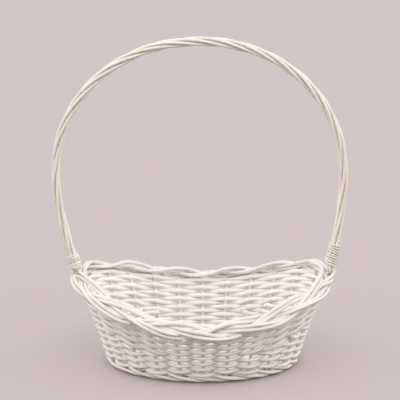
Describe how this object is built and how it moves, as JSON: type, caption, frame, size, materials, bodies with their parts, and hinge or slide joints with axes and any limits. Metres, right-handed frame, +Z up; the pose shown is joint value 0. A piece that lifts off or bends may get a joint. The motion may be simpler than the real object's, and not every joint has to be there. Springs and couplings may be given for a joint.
{
  "type": "flower girl basket",
  "caption": "Oval woven willow basket with a boat shaped rim, a plaited border and a tall hoop handle of twisted rods bound with cane.",
  "frame": {"origin": "middle of the base's underside, on the surface that the basket stands on", "axes": "+Z up, +X along the basket's length and in the plane of the handle, +Y across it, the pictured side faces -Y"},
  "size_m": [0.3547, 0.246, 0.4007],
  "materials": {
    "stakes_and_border": "brushed white paint over willow, satin",
    "weavers": "white paint over willow, matt",
    "foot_wale": "white paint over willow, matt",
    "base_weave": "thin white paint over willow, matt",
    "base_sticks": "thin white paint over split willow, matt",
    "handle_rods": "cream white paint over willow, satin",
    "cane": "cream cane, satin"
  },
  "bodies": {
    "root": {"stake_01": "stakes_and_border", "stake_02": "stakes_and_border", "stake_03": "stakes_and_border", "stake_04": "stakes_and_border", "stake_05": "stakes_and_border", "stake_06": "stakes_and_border", "stake_07": "stakes_and_border", "stake_08": "stakes_and_border", "stake_09": "stakes_and_border", "stake_10": "stakes_and_border", "stake_11": "stakes_and_border", "stake_12": "stakes_and_border", "stake_13": "stakes_and_border", "stake_14": "stakes_and_border", "stake_15": "stakes_and_border", "stake_16": "stakes_and_border", "stake_17": "stakes_and_border", "stake_18": "stakes_and_border", "stake_19": "stakes_and_border", "stake_20": "stakes_and_border", "stake_21": "stakes_and_border", "stake_22": "stakes_and_border", "stake_23": "stakes_and_border", "stake_24": "stakes_and_border", "row_01": "weavers", "row_02": "weavers", "row_03": "weavers", "row_04": "weavers", "row_05": "weavers", "row_06": "weavers", "row_07": "weavers", "row_08": "weavers", "row_09": "weavers", "row_10": "weavers", "row_11": "weavers", "row_12": "weavers", "row_13": "weavers", "row_14": "weavers", "packing_right": "weavers", "packing_left": "weavers", "foot_wale_1": "foot_wale", "foot_wale_2": "foot_wale", "foot_wale_3": "foot_wale", "base_weave": "base_weave", "base_long_stick_1": "base_sticks", "base_long_stick_2": "base_sticks", "base_long_stick_3": "base_sticks", "base_cross_stick_1": "base_sticks", "base_cross_stick_2": "base_sticks", "base_cross_stick_3": "base_sticks", "base_cross_stick_4": "base_sticks", "handle_bow": "handle_rods", "handle_strand_1": "handle_rods", "handle_strand_2": "handle_rods", "handle_strand_3": "handle_rods", "handle_strand_4": "handle_rods", "handle_strand_5": "handle_rods", "handle_binding_right": "cane", "handle_binding_left": "cane"}
  },
  "joints": []
}
